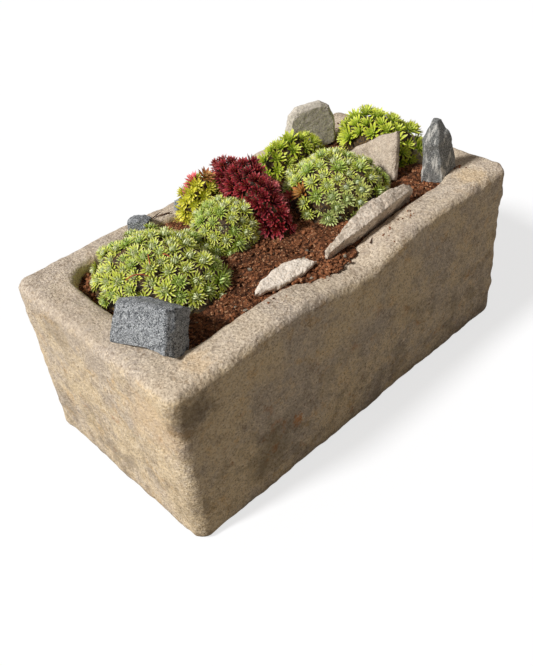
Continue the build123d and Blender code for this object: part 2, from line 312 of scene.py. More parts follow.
@dataclass(frozen=True)
class Stain:
    """A ragged stain on a stone.

    Args:
        middle: Its middle, in metres.
        reach: Its radius, in metres.
        colour: Its colour.
        strength: How strong it is, from 0 to 1.
    """

    middle: Place
    reach: float
    colour: Colour
    strength: float


@dataclass(frozen=True)
class Sandstone(Finish):
    """Weathered sandstone: warm and grey patches, dark and pale grains, pits, and a greyer bloom on what faces up.

    Args:
        warm: The stone's own colour.
        grey: The colour of its weathered patches.
        grime: The colour in its pits.
        pale: The colour of its freshest grains.
        ochre: The colour of its iron-rich patches.
        grain: The size of its grains, in metres.
        stains: Its stains. A stone with stains also has a rusty, damp and darkened foot.
        rust: The colour of the foot's rusty patches.
        damp: The colour of its damp patches.
        foot: The colour where it meets the ground.
    """

    warm: Colour = tone(234, 214, 180)
    grey: Colour = tone(206, 194, 181)
    grime: Colour = tone(134, 112, 89)
    pale: Colour = tone(250, 236, 214)
    ochre: Colour = tone(228, 190, 130)
    grain: float = 2.4 * MM
    stains: tuple[Stain, ...] = ()
    rust: Colour = tone(176, 116, 62)
    damp: Colour = tone(104, 88, 66)
    foot: Colour = tone(110, 94, 74)

    def stained(self, graph: Graph, colour: Signal) -> Signal:
        """Adds the stains, the rusty and damp patches low down, and its darker foot.

        Args:
            graph: The material's graph.
            colour: The clean stone's colour.

        Returns:
            The stained stone's colour.
        """
        for stain in self.stains:
            colour = graph.blend(graph.near(stain.middle, stain.reach) * stain.strength, colour, stain.colour)
        height = graph.along("Z")
        rusty = graph.noise(50 * MM, 4, 0.7).step(0.60, 0.68) * height.step(0.30, 0.15)
        colour = graph.blend(rusty * 0.45, colour, self.rust)
        damp = graph.noise(55 * MM, 5, 0.75).step(0.47, 0.60) * height.step(0.30, 0.05)
        colour = graph.blend(damp * 0.4, colour, self.damp)
        # darker towards the bottom, over the lowest 3 cm
        return graph.blend(height.step(0.03, 0.0) * 0.35, colour, self.foot)

    def shade(self, graph: Graph) -> None:
        """Builds the shader.

        Args:
            graph: The material's graph.
        """
        patches = graph.noise(120 * MM, 5, 0.62)
        mottle = graph.noise(13 * MM, 5, 0.7)
        grains = graph.grains(self.grain)
        speckle = graph.noise(1.7 * self.grain, 4, 0.8)
        colour = graph.blend((patches + 0.5 * mottle).step(0.62, 0.90), self.warm, self.grey)
        colour = graph.blend(graph.noise(42 * MM, 5, 0.72).step(0.53, 0.66) * 0.5, colour, self.ochre)
        colour = graph.blend(graph.upward().step(0.3, 0.9) * 0.62, colour, self.grey)
        colour = graph.blend(graph.noise(8 * MM, 4, 0.75).step(0.47, 0.64) * 0.5, colour, self.pale)
        colour = graph.blend(graph.noise(30 * MM, 6, 0.78).step(0.50, 0.66) * 0.42, colour, self.grime)
        colour = graph.blend(speckle.step(0.49, 0.36) * 0.66, colour, self.grime)
        colour = graph.blend(grains.step(0.74, 0.96) * 0.4, colour, self.grime)
        colour = graph.blend(grains.step(0.20, 0.04) * 0.55, colour, self.pale)
        if self.stains:
            colour = self.stained(graph, colour)
        relief = 0.35 * mottle + 0.4 * speckle + 0.25 * graph.cells(2.2 * self.grain)
        graph.finish(colour, 0.86 + 0.1 * speckle, relief, 5 * MM, Specular_IOR_Level=0.2)


@dataclass(frozen=True)
class Granite(Finish):
    """Split granite or slate: a mosaic of dark, middle and pale grains.

    Args:
        dark: The dark grains' colour.
        middle: The commonest grains' colour.
        pale: The pale grains' colour.
        grain: The size of the grains, in metres.
        pale_share: How much of the stone is pale.
        veins: How strong the pale fracture lines are.
    """

    dark: Colour = tone(48, 50, 54)
    middle: Colour = tone(98, 102, 108)
    pale: Colour = tone(178, 182, 186)
    grain: float = 2.0 * MM
    pale_share: float = 0.2
    veins: float = 0.0

    def shade(self, graph: Graph) -> None:
        """Builds the shader.

        Args:
            graph: The material's graph.
        """
        grains = graph.grains(self.grain)
        small = graph.grains(0.55 * self.grain)
        cloud = graph.noise(12 * MM, 5, 0.72)
        colour = graph.blend((0.8 * grains + 1.4 * cloud).step(0.78, 1.38), self.dark, self.middle)
        colour = graph.blend(small.step(1 - self.pale_share, 1 - 0.6 * self.pale_share) * 0.8, colour, self.pale)
        if self.veins:
            lines = graph.noise(14 * MM, 5, 0.7, (1.0, 0.5, 2.4))
            colour = graph.blend(lines.step(0.51, 0.63) * self.veins, colour, self.pale)
        relief = 0.5 * graph.noise(7 * MM, 4, 0.7) + 0.3 * grains + 0.2 * cloud
        graph.finish(colour, 0.62 + 0.25 * small, relief, 1.8 * MM, Specular_IOR_Level=0.4)


@dataclass(frozen=True)
class Earth(Finish):
    """Gritty compost or gravel.

    Args:
        dark: The colour in its hollows.
        light: The colour of its lit crumbs.
        speck: The colour of its odd pale bits.
        crumb: The size of its crumbs, in metres.
    """

    dark: Colour = tone(60, 36, 24)
    light: Colour = tone(156, 102, 70)
    speck: Colour = tone(214, 168, 130)
    crumb: float = 3.5 * MM

    def shade(self, graph: Graph) -> None:
        """Builds the shader.

        Args:
            graph: The material's graph.
        """
        crumbs = graph.grains(self.crumb)
        cloud = graph.noise(35 * MM, 4, 0.6)
        own = graph.attribute("tone")
        colour = graph.blend((0.7 * crumbs + 0.6 * cloud + 0.5 * own).step(0.35, 1.25), self.dark, self.light)
        colour = graph.blend(graph.grains(0.6 * self.crumb).step(0.93, 0.97) * 0.7, colour, self.speck)
        relief = 0.6 * graph.noise(1.4 * self.crumb, 4, 0.8) + 0.4 * graph.cells(self.crumb)
        graph.finish(colour, 0.95, relief, 3 * MM, Specular_IOR_Level=0.15)


@dataclass(frozen=True)
class Leaf(Finish):
    """Fleshy leaves, coloured by their place in the rosette, with painted shade at the bases of the outer leaves and a
    partly painted highlight on the tips.

    Args:
        heart: The colour of the youngest leaves, in the middle.
        blade: The colour of the outer leaves.
        tip: The colour of the leaf tips: partly their own paler colour, partly a painted highlight.
        root: The painted shade at the bases of the outer leaves, where the leaves overlap; also the colour of the
            leaves' darker mottle.
        wild: The colour that some rosettes turn to.
        tips: How far down the leaf the tip colour reaches, from 0 to 1.
    """

    heart: Colour = tone(230, 244, 196)
    blade: Colour = tone(218, 232, 90)
    tip: Colour = tone(254, 246, 176)
    root: Colour = tone(100, 104, 30)
    wild: Colour = tone(164, 204, 78)
    tips: float = 0.3

    def shade(self, graph: Graph) -> None:
        """Builds the shader.

        Args:
            graph: The material's graph.
        """
        along, ring, own = (graph.attribute(name) for name in ("along", "ring", "tone"))
        colour = graph.blend(ring.step(0.30, 0.52), self.heart, self.blade)
        colour = graph.blend(own.step(0.45, 1.0) * 0.75, colour, self.wild)
        # painted shade: the outer leaves darken towards their roots, where the leaves overlap
        colour = graph.blend(along.step(0.78, 0.3) * ring.step(0.12, 0.6) * 0.92, colour, self.root)
        # the tips' own paler colour, partly a painted highlight
        colour = graph.blend(along.step(1 - self.tips, 1.0) * 0.85, colour, self.tip)
        mottle = graph.noise(6 * MM, 3, 0.6)
        colour = graph.blend(mottle.step(0.50, 0.32) * 0.35, colour, self.root)
        relief = graph.noise(1.5 * MM, 2, 0.5)
        graph.finish(colour, 0.42 + 0.2 * mottle, relief, 0.3 * MM, Specular_IOR_Level=0.4, Subsurface_Weight=0.25,
                     Subsurface_Scale=3 * MM)
        graph.shader.inputs["Subsurface Radius"].default_value = (0.8, 1.0, 0.3)


@dataclass(frozen=True)
class Plain(Finish):
    """One colour with a fine mottle, for stems, thatch and the like.

    Args:
        colour: The main colour.
        fleck: The colour of its darker flecks.
    """

    colour: Colour
    fleck: Colour

    def shade(self, graph: Graph) -> None:
        """Builds the shader.

        Args:
            graph: The material's graph.
        """
        mottle = graph.noise(5 * MM, 4, 0.7)
        colour = graph.blend(mottle.step(0.42, 0.62), self.fleck, self.colour)
        graph.finish(colour, 0.7 + 0.2 * mottle, mottle, 0.8 * MM)


class Finishes:
    """Every finish of the model."""

    TROUGH = Sandstone("trough_sandstone", "sandstone", stains=(
        Stain((-0.372, -0.212, 0.285), 0.055, tone(96, 80, 62), 0.6),  # the dark near corner of the front
        Stain((-0.240, -0.212, 0.090), 0.070, tone(104, 92, 72), 0.5),  # the dark patch low on the front
        Stain((-0.175, -0.212, 0.115), 0.016, tone(200, 124, 46), 0.7),  # the rust spot beside it
        Stain((0.388, -0.212, 0.262), 0.006, tone(250, 248, 244), 0.9),  # the white fleck at the far corner
        Stain((0.201, -0.212, 0.274), 0.006, tone(90, 76, 56), 0.8),  # the scratch under the rim
        Stain((-0.402, 0.094, 0.290), 0.050, tone(150, 136, 112), 0.4),  # the grey patch on the near end
        Stain((-0.402, -0.150, 0.250), 0.080, tone(240, 204, 156), 0.3),  # the ochre patch on the near end
        Stain((-0.330, -0.190, 0.350), 0.040, tone(244, 208, 156), 0.3),  # the ochre near corner of the rim
        Stain((0.330, -0.190, 0.340), 0.040, tone(246, 210, 150), 0.3),  # the ochre far corner of the rim
        Stain((-0.370, 0.030, 0.350), 0.130, tone(186, 170, 152), 0.3)))  # the grey near end of the rim
    ROUGH_SLAB = Sandstone(
        "rough_slab_stone", "pale_sandstone", warm=tone(246, 230, 212), grey=tone(226, 212, 196),
        grime=tone(130, 114, 98), pale=tone(255, 248, 236), ochre=tone(226, 204, 180), grain=2.4 * MM)
    PALE_SLAB = Sandstone(
        "pale_slab_stone", "pale_sandstone", warm=tone(216, 200, 182), grey=tone(198, 186, 172),
        grime=tone(150, 134, 118), pale=tone(236, 224, 208), ochre=tone(206, 184, 158), grain=1.8 * MM)
    FLAKY_SLAB = Sandstone(
        "white_flaky_stone", "white_stone", warm=tone(254, 244, 230), grey=tone(248, 238, 226),
        grime=tone(216, 198, 180), pale=tone(255, 250, 242), ochre=tone(246, 232, 210), grain=2.0 * MM)
    GRANITE = Granite("split_granite", "granite", dark=tone(70, 74, 79), middle=tone(146, 151, 156),
                      pale=tone(214, 219, 224))
    SPECKLED = Granite("speckled_grey_stone", "speckled_stone", dark=tone(190, 184, 173), middle=tone(217, 211, 200),
                       pale=tone(244, 236, 214), grain=3.0 * MM, pale_share=0.07)
    SLATE = Granite("dark_broken_slate", "dark_slate", dark=tone(92, 94, 95), middle=tone(140, 143, 143),
                    pale=tone(232, 232, 228), grain=1.4 * MM, pale_share=0.05, veins=0.75)
    COMPOST = Earth("gritty_compost", "compost")
    GRAVEL = Earth("washed_gravel", "gravel", dark=tone(88, 82, 74), light=tone(150, 142, 128),
                   speck=tone(200, 190, 176), crumb=9 * MM)
    TERRACOTTA = Plain("old_terracotta", "terracotta", tone(176, 98, 66), tone(140, 74, 50))
    GREEN = Leaf("green_houseleek", "green_leaf")
    BLUE = Leaf(
        "blue_green_houseleek", "green_leaf", heart=tone(212, 232, 204), blade=tone(208, 216, 118),
        tip=tone(240, 240, 150), root=tone(70, 86, 30), wild=tone(196, 216, 140), tips=0.2)
    YELLOW = Leaf(
        "yellow_houseleek", "yellow_leaf", heart=tone(240, 240, 120), blade=tone(242, 236, 82),
        tip=tone(252, 244, 140), root=tone(190, 194, 44), wild=tone(224, 230, 84), tips=0.3)
    RED = Leaf(
        "dark_red_houseleek", "red_leaf", heart=tone(126, 26, 38), blade=tone(162, 32, 46),
        tip=tone(236, 122, 124), root=tone(30, 6, 9), wild=tone(110, 18, 32), tips=0.25)
    PINK = Leaf(
        "pink_houseleek", "red_leaf", heart=tone(248, 176, 166), blade=tone(240, 96, 118),
        tip=tone(252, 156, 156), root=tone(180, 50, 70), wild=tone(232, 112, 118), tips=0.4)
    SALMON = Leaf(
        "salmon_houseleek", "yellow_leaf", heart=tone(226, 200, 130), blade=tone(222, 140, 96),
        tip=tone(230, 120, 92), root=tone(140, 110, 40), wild=tone(214, 150, 100), tips=0.5)
    DRIED = Leaf(
        "dried_houseleek", "green_leaf", heart=tone(226, 190, 120), blade=tone(216, 150, 74),
        tip=tone(186, 110, 52), root=tone(110, 70, 34), wild=tone(196, 150, 90), tips=0.5)
    BRIGHT = Leaf(
        "bright_green_houseleek", "bright_leaf", heart=tone(220, 236, 110), blade=tone(214, 228, 70),
        tip=tone(250, 248, 146), root=tone(98, 130, 24), wild=tone(204, 216, 78), tips=0.25)
    # old leaves' own brown, made darker as painted shade in the gaps between the rosettes
    THATCH_AND_SHADE = Plain("dry_thatch_and_shade", "green_leaf", tone(100, 76, 38), tone(36, 26, 12))
    RUNNER = Plain("red_runner", "red_leaf", tone(196, 98, 56), tone(150, 62, 40))
    TWIG = Plain("dead_twig", "compost", tone(110, 78, 58), tone(60, 40, 30))


class Workshop:
    """Turns meshes in hand into pieces of the model."""

    @staticmethod
    def blank(*values: str) -> bmesh.types.BMesh:
        """Starts an empty mesh whose points carry these values.

        Args:
            values: The values' names.

        Returns:
            The mesh in hand.
        """
        bm = bmesh.new()
        for name in values:
            bm.verts.layers.float.new(name)
        return bm

    @staticmethod
    def done(name: str, bm: bmesh.types.BMesh) -> bpy.types.Mesh:
        """Turns a mesh in hand into mesh data.

        Args:
            name: The data's name.
            bm: The mesh, which is used up.

        Returns:
            The mesh data.
        """
        mesh = bpy.data.meshes.new(name)
        bm.to_mesh(mesh)
        bm.free()
        return mesh

    @staticmethod
    def node_copy(node: str) -> bmesh.types.BMesh:
        """Copies a CAD node's mesh and joins its loose triangles.

        Args:
            node: The node's name.

        Returns:
            The joined copy.
        """
        bm = bmesh.new()
        bm.from_mesh(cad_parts[node].data)
        bmesh.ops.remove_doubles(bm, verts=bm.verts[:], dist=0.01 * MM)
        return bm

    @staticmethod
    def skin(bm: bmesh.types.BMesh, voxel: float) -> bmesh.types.BMesh:
        """Wraps a mesh in an even skin of small faces.

        Args:
            bm: The mesh, which is used up.
            voxel: The faces' size, in metres.

        Returns:
            The new mesh.
        """
        mesh = Workshop.done("skin", bm)
        holder = bpy.data.objects.new("skin", mesh)
        bpy.context.scene.collection.objects.link(holder)
        remesh = holder.modifiers.new("skin", "REMESH")
        remesh.mode = "VOXEL"
        remesh.voxel_size = voxel
        evaluated = holder.evaluated_get(bpy.context.evaluated_depsgraph_get())
        skinned = bpy.data.meshes.new_from_object(evaluated)
        fresh = bmesh.new()
        fresh.from_mesh(skinned)
        bpy.data.objects.remove(holder)
        bpy.data.meshes.remove(mesh)
        bpy.data.meshes.remove(skinned)
        return fresh

    @staticmethod
    def facets(bm: bmesh.types.BMesh, size: float) -> list[bmesh.types.BMVert]:
        """Cuts a mesh into small faces by a lattice of planes, and keeps its arrises.

        Args:
            bm: The mesh.
            size: The distance between the planes, in metres.

        Returns:
            The points on the arrises.
        """
        bmesh.ops.dissolve_limit(bm, angle_limit=radians(3), verts=bm.verts[:], edges=bm.edges[:])
        for axis in range(3):
            low = min(vert.co[axis] for vert in bm.verts)
            high = max(vert.co[axis] for vert in bm.verts)
            across = Vector(float(axis == other) for other in range(3))
            for step in range(1, int((high - low) / size) + 1):
                bmesh.ops.bisect_plane(bm, geom=bm.verts[:] + bm.edges[:] + bm.faces[:], dist=0.05 * MM,
                                       plane_co=across * (low + step * size), plane_no=across)
        bmesh.ops.triangulate(bm, faces=bm.faces[:])
        bmesh.ops.remove_doubles(bm, verts=bm.verts[:], dist=0.15 * size)
        creased = [edge for edge in bm.edges if edge.calc_face_angle(0) > radians(20)]
        return list({vert for edge in creased for vert in edge.verts})

    @staticmethod
    def piece(name: str, bm: bmesh.types.BMesh, finish: Finish, replaced: Iterable[str] = (),
              crease: float = 60.0) -> None:
        """Makes a finished piece, riding on the one body.

        Args:
            name: The piece's name.
            bm: Its mesh, which is used up.
            finish: Its finish.
            replaced: The CAD nodes that it stands for.
            crease: The angle from which an edge shows as sharp, in degrees.
        """
        mesh = Workshop.done(name, bm)
        mesh.shade_smooth()
        mesh.set_sharp_from_angle(angle=radians(crease))
        mesh.materials.append(finish.material())
        made = bpy.data.objects.new(name, mesh)
        bpy.context.scene.collection.objects.link(made)
        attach(made, "root")
        if replaced:
            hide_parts(*replaced)
        log.info("%s: %d faces", name, len(mesh.polygons))

    @staticmethod
    def add(bm: bmesh.types.BMesh, mesh: bpy.types.Mesh, place: Matrix, values: dict[str, float]) -> None:
        """Adds a copy of a mesh at a place.

        Args:
            bm: The mesh that grows.
            mesh: What is added.
            place: Where the copy goes.
            values: What its points carry, by attribute.
        """
        start = len(bm.verts)
        bm.from_mesh(mesh)
        bm.verts.ensure_lookup_table()
        fresh = bm.verts[start:]
        bmesh.ops.transform(bm, matrix=place, verts=fresh)
        for name, value in values.items():
            layer = bm.verts.layers.float[name]
            for vert in fresh:
                vert[layer] = value

    @staticmethod
    def crumb(seed: int) -> bpy.types.Mesh:
        """Makes one crumb or pebble, about 1 across, lumpy and a little flat.

        Args:
            seed: What makes one crumb differ from the next.

        Returns:
            Its mesh data.
        """
        bm = Workshop.blank("tone")
        bmesh.ops.create_icosphere(bm, subdivisions=1, radius=0.5)
        for vert in bm.verts:
            vert.co *= 1 + 0.6 * noise.noise(vert.co * 2 + Vector((seed, 0, 0)))
        bmesh.ops.scale(bm, vec=(1.2, 0.9, 0.7), verts=bm.verts[:])
        return Workshop.done("crumb", bm)


@dataclass(frozen=True)
class Relief:
    """The lumps that a stone's skin is moved by.

    Args:
        layers: The size and height of each layer of lumps, in metres.
        seed: What makes one stone differ from the next.
        pits: The size and depth of its pits, in metres.
    """

    layers: tuple[tuple[float, float], ...]
    seed: float = 0.0
    pits: tuple[float, float] = (1.0, 0.0)

    def height(self, point: Vector) -> float:
        """How far the skin stands out at a point.

        Args:
            point: The point.

        Returns:
            The height, in metres.
        """
        shifted = point + Vector((self.seed, 0.7 * self.seed, 0.3 * self.seed))
        lumps = sum(tall * noise.noise(shifted / size) for size, tall in self.layers)
        size, depth = self.pits
        if depth:
            near = noise.voronoi(shifted / size)[0][0]
            lumps -= depth * max(0.0, PIT - near) / PIT * max(0.0, noise.noise(shifted / (4 * size)) + 0.2)
        return lumps

    def carve(self, bm: bmesh.types.BMesh, where: Callable[[Vector], float] = lambda point: 1.0) -> None:
        """Moves the skin.

        Args:
            bm: The mesh.
            where: How strongly each point is moved.
        """
        bm.normal_update()
        moves = [vert.normal * self.height(vert.co) * where(vert.co) for vert in bm.verts]
        for vert, move in zip(bm.verts, moves):
            vert.co += move


class Surfaces:
    """The CAD nodes as surfaces, to set things on."""

    def __init__(self) -> None:
        """Reads every node's surface."""
        self.trees: dict[str, BVHTree] = {}
        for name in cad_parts:
            bm = Workshop.node_copy(name)
            self.trees[name] = BVHTree.FromBMesh(bm)
            bm.free()

    def under(self, x: float, y: float) -> tuple[str, Vector]:
        """Finds what a crumb dropped from above would land on.

        Args:
            x: Where it is dropped.
            y: Where it is dropped.

        Returns:
            The node's name, or "" where there is nothing, and the place.
        """
        top, found = Vector((x, y, 0.0)), ""
        for name, tree in self.trees.items():
            place = tree.ray_cast(Vector((x, y, 1.0)), DOWN)[0]
            if place is not None and place.z > top.z:
                top, found = place, name
        return found, top

    def clear(self, point: Vector, names: Iterable[str], reach: float) -> bool:
        """Whether a point is farther than reach from these nodes.

        Args:
            point: The point.
            names: The nodes' names.
            reach: The distance, in metres.

        Returns:
            Whether it is clear of them all.
        """
        return all(self.trees[name].find_nearest(point, reach)[0] is None for name in names)


@dataclass(frozen=True)
class StonePiece:
    """One stone: a CAD node's shape, with rough faces and chipped arrises.

    Args:
        node: The CAD node that gives its shape.
        name: The piece's name.
        finish: Its finish.
        facet: The size of its small faces, in metres.
        relief: The lumps on its faces.
        chips: The nicks along its arrises.
        bulge: Where up its height its sides swell out, from 0 to 1, and how far, in metres.
        bulge_span: How much of its height the bulge takes up.
        rounding: How much its arrises are smoothed.
        crease: The angle from which its edges show as sharp, in degrees.
    """

    node: str
    name: str
    finish: Finish
    facet: float
    relief: Relief
    chips: Relief = Relief(((0.012, 2.4 * MM), (0.005, 1.2 * MM)), 3.0)
    bulge: tuple[float, float] = (0.0, 0.0)
    bulge_span: float = 0.14
    rounding: float = 0.3
    crease: float = 38.0

    def build(self) -> None:
        """Makes the stone."""
        bm = Workshop.node_copy(self.node)
        arris = Workshop.facets(bm, self.facet)
        bmesh.ops.smooth_vert(bm, verts=arris, factor=self.rounding, use_axis_x=True, use_axis_y=True,
                              use_axis_z=True)
        bm.normal_update()
        for vert in arris:
            vert.co -= vert.normal * max(0.0, self.chips.height(vert.co))
        self.relief.carve(bm)
        low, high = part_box(self.node)
        at, swell = self.bulge
        for vert in bm.verts:
            share = (vert.co.z - low[2]) / (high[2] - low[2])
            vert.co += vert.normal * swell * exp(-((share - at) / self.bulge_span) ** 2)
        Workshop.piece(self.name, bm, self.finish, [self.node], self.crease)


@dataclass(frozen=True)
class Trough:
    """The sandstone trough.

    Args:
        voxel: The size of its skin's faces, in metres.
        faces: The undulations and pits of its walls.
        arris: The nicks along its edges.
        edge: How far from an edge the nicks reach, in metres.
        sparing: How strong they are away from the far front corner.
        broken_from: Where along and across the trough its broken far front corner begins, in metres.
        foot: Up to which height over the floor the skin is held back, in metres.
    """

    voxel: float = 5.2 * MM
    faces: Relief = Relief(((0.16, 3 * MM), (0.045, 1.8 * MM), (0.016, 1.6 * MM)), 1.7, (0.022, 3.5 * MM))
    arris: Relief = Relief(((0.03, 5 * MM), (0.012, 2 * MM)), 5.1)
    edge: float = 0.03
    sparing: float = 0.35
    broken_from: tuple[float, float] = (0.35, -0.15)
    foot: float = 6 * MM

    def off_floor(self, point: Vector) -> float:
        """How freely the skin may move: 0 on the floor and 1 above the foot."""
        return min(1.0, max(0.0, point.z) / self.foot)

    def wear(self, point: Vector, low: Sequence[float], high: Sequence[float]) -> float:
        """How strongly the nicks act: fully at the far corner's upright edge, a little at the other edges.

        Args:
            point: A point on the skin.
            low: The trough's lowest corner.
            high: Its highest corner.

        Returns:
            The strength, from 0 to 1.
        """
        from_end = min(abs(point.x - low[0]), abs(high[0] - point.x))
        from_side = min(abs(point.y - low[1]), abs(high[1] - point.y))
        along, across = self.broken_from
        strength = 1.0 if point.x > along and point.y < across else self.sparing
        return max(0.0, 1 - max(from_end, from_side) / self.edge) * strength

    def build(self) -> None:
        """Makes the trough."""
        low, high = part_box("trough")
        bm = Workshop.skin(Workshop.node_copy("trough"), self.voxel)
        self.faces.carve(bm, self.off_floor)
        self.arris.carve(bm, lambda point: -self.wear(point, low, high) * self.off_floor(point))
        for vert in bm.verts:
            vert.co.z = max(vert.co.z, 0.0)
        Workshop.piece("worn_trough", bm, Finishes.TROUGH, ["trough"])


@dataclass(frozen=True)
class Bed:
    """The compost and its loose crumbs, some of which lie on the rim. Lengths are in metres.

    Args:
        voxel: The size of the compost's faces.
        lumps: The lumps on the compost.
        flat_under: The height under which the compost has no lumps.
        rise: Over which height they grow to their full size.
        crumbs: How many loose crumbs lie on it.
        grades: The crumbs' usual sizes, in millimetres.
        spill: Where crumbs lie on and near the rim: places, reaches and how many.
    """

    voxel: float = 3.6 * MM
    lumps: Relief = Relief(((0.045, 6 * MM), (0.016, 5 * MM), (0.008, 3 * MM)), 3.3)
    flat_under: float = 0.29
    rise: float = 0.02
    crumbs: int = 4200
    grades: tuple[float, ...] = (2.5, 3.0, 4.0, 5.5, 8.0)
    spill: tuple[tuple[float, float, float, int], ...] = (
        (-0.025, -0.165, 0.04, 140), (0.10, -0.185, 0.02, 24), (0.155, -0.18, 0.02, 16), (0.345, -0.152, 0.012, 10),
        (-0.16, -0.17, 0.03, 16), (0.33, 0.15, 0.03, 30), (-0.2, 0.17, 0.04, 24))

    def mound(self) -> None:
        """Makes the compost itself."""
        bm = Workshop.skin(Workshop.node_copy("compost"), self.voxel)
        self.lumps.carve(bm, lambda point: min(1.0, max(0.0, point.z - self.flat_under) / self.rise))
        bm.verts.layers.float.new("tone")
        Workshop.piece("mounded_compost", bm, Finishes.COMPOST, ["compost"])

    def build(self, surfaces: Surfaces, chance: random.Random) -> None:
        """Makes the compost and its crumbs.

        Args:
            surfaces: What the crumbs lie on.
            chance: The source of chance.
        """
        self.mound()
        bm = Workshop.blank("tone")
        kinds = [Workshop.crumb(seed) for seed in range(6)]
        low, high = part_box("compost")
        spots = [(chance.uniform(low[0], high[0]), chance.uniform(low[1], high[1]), ("compost",))
                 for _ in range(self.crumbs)]
        for x, y, reach, count in self.spill:
            spots += [(chance.gauss(x, reach / 2), chance.gauss(y, reach / 2.5), ("compost", "trough"))
                      for _ in range(count)]
        for x, y, wanted in spots:
            found, spot = surfaces.under(x, y)
            if found not in wanted:
                continue
            size = chance.choice(self.grades) * MM * chance.uniform(0.8, 1.3) * (0.5 if found == "trough" else 1.0)
            turn = Matrix.Rotation(chance.uniform(0, 2 * pi), 4, "Z") @ Matrix.Rotation(chance.uniform(-1, 1), 4, "X")
            place = Matrix.Translation(spot + Vector((0, 0, 0.15 * size))) @ turn @ Matrix.Scale(size, 4)
            Workshop.add(bm, chance.choice(kinds), place, {"tone": chance.random()})
        Workshop.piece("compost_crumbs", bm, Finishes.COMPOST)


@dataclass(frozen=True)
class Litter:
    """Twigs, needles, pebbles and the stray runners on the near clump. Lengths are in metres.

    Args:
        needles: How many thin bits lie about on the compost.
        lift: How high needles and twigs lie over the ground.
        twig: A twig's radius.
        pebbles: How many pale pebbles lie on the compost.
        pebble: The smallest and the largest pebble's size, in millimetres.
        stem: A runner's radius.
        runners: Where the runners lie: their middles, radii, headings in degrees and arcs in degrees.
        twigs: Where twigs lie on the rim: places, lengths and headings in degrees.
    """

    needles: int = 110
    lift: float = 2.5 * MM
    twig: float = 1.6 * MM
    pebbles: int = 46
    pebble: tuple[float, float] = (4, 9)
    stem: float = 0.9 * MM
    runners: tuple[tuple[Place, float, float, float], ...] = (
        ((-0.258, 0.006, 0.404), 0.022, 60, 80), ((-0.290, 0.000, 0.390), 0.026, -35, 90),
        ((-0.236, -0.012, 0.404), 0.014, 100, 60))
    twigs: tuple[tuple[tuple[float, float], float, float], ...] = (
        ((-0.129, 0.183), 0.040, 12), ((-0.110, 0.178), 0.026, 160), ((0.07, -0.172), 0.018, 30),
        ((0.30, 0.175), 0.030, 70))

    def stick(self, bm: bmesh.types.BMesh, spot: Vector, turn: Matrix, length: float, radius: float) -> None:
        """Adds a thin, tapered stick that lies along its own X axis.

        Args:
            bm: The mesh that grows.
            spot: The ground under its middle.
            turn: How it is turned.
            length: Its length.
            radius: Its radius at its thick end.
        """
        place = Matrix.Translation(spot + Vector((0, 0, self.lift))) @ turn @ Matrix.Rotation(pi / 2, 4, "Y")
        bmesh.ops.create_cone(bm, cap_ends=True, segments=5, radius1=radius, radius2=0.5 * radius, depth=length,
                              matrix=place)

    def sticks(self, surfaces: Surfaces, chance: random.Random) -> None:
        """Makes the needles on the compost and the twigs on the rim.

        Args:
            surfaces: What they lie on.
            chance: The source of chance.
        """
        bm = bmesh.new()
        low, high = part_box("compost")
        for _ in range(self.needles):
            found, spot = surfaces.under(chance.uniform(low[0], high[0]), chance.uniform(low[1], high[1]))
            if found != "compost":
                continue
            turn = Matrix.Rotation(chance.uniform(0, pi), 4, "Z") @ Matrix.Rotation(chance.uniform(-0.3, 0.3), 4, "Y")
            self.stick(bm, spot, turn, chance.uniform(8, 20) * MM, chance.uniform(0.5, 0.9) * MM)
        for (x, y), length, heading in self.twigs:
            self.stick(bm, surfaces.under(x, y)[1], Matrix.Rotation(radians(heading), 4, "Z"), length, self.twig)
        Workshop.piece("twigs_and_needles", bm, Finishes.TWIG)

    def runner(self, bm: bmesh.types.BMesh, middle: Place, radius: float, heading: float, arc: float) -> None:
        """Adds a thin arched stem.

        Args:
            bm: The mesh that grows.
            middle: The arch's highest point.
            radius: The arch's radius.
            heading: Which way the arch runs, in degrees.
            arc: How much of a circle it is, in degrees.
        """
        turn = Matrix.Rotation(radians(heading), 4, "Z")
        centre = Vector(middle) - Vector((0, 0, radius))
        axis = turn @ Vector((0, 1, 0))
        start = centre + Matrix.Rotation(-radians(arc) / 2, 4, axis) @ Vector((0, 0, radius))
        lean = Matrix.Rotation(-radians(arc) / 2, 4, axis) @ turn @ Matrix.Rotation(pi / 2, 4, "Y")
        ring = bmesh.ops.create_circle(bm, cap_ends=True, segments=6, radius=self.stem,
                                       matrix=Matrix.Translation(start) @ lean)
        faces = list({face for vert in ring["verts"] for face in vert.link_faces})
        edges = list({edge for vert in ring["verts"] for edge in vert.link_edges})
        bmesh.ops.spin(bm, geom=ring["verts"] + edges + faces, cent=centre, axis=axis, angle=radians(arc), steps=10)

    def scattered(self, surfaces: Surfaces, chance: random.Random) -> None:
        """Makes the pebbles.

        Args:
            surfaces: What they lie on.
            chance: The source of chance.
        """
        bm = Workshop.blank("tone")
        kinds = [Workshop.crumb(seed) for seed in (21, 22, 23)]
        low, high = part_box("compost")
        for _ in range(self.pebbles):
            found, spot = surfaces.under(chance.uniform(low[0], high[0]), chance.uniform(low[1], high[1]))
            if found != "compost":
                continue
            size = chance.uniform(*self.pebble) * MM
            turn = Matrix.Rotation(chance.uniform(0, 2 * pi), 4, "Z")
            place = Matrix.Translation(spot + Vector((0, 0, 0.2 * size))) @ turn @ Matrix.Scale(size, 4)
            Workshop.add(bm, chance.choice(kinds), place, {"tone": chance.random()})
        Workshop.piece("loose_pebbles", bm, Finishes.GRAVEL)

    def build(self, surfaces: Surfaces, chance: random.Random) -> None:
        """Makes the litter.

        Args:
            surfaces: What it lies on.
            chance: The source of chance.
        """
        self.sticks(surfaces, chance)
        bm = bmesh.new()
        for runner in self.runners:
            self.runner(bm, *runner)
        bmesh.ops.recalc_face_normals(bm, faces=bm.faces[:])
        Workshop.piece("red_runners", bm, Finishes.RUNNER)
        self.scattered(surfaces, chance)


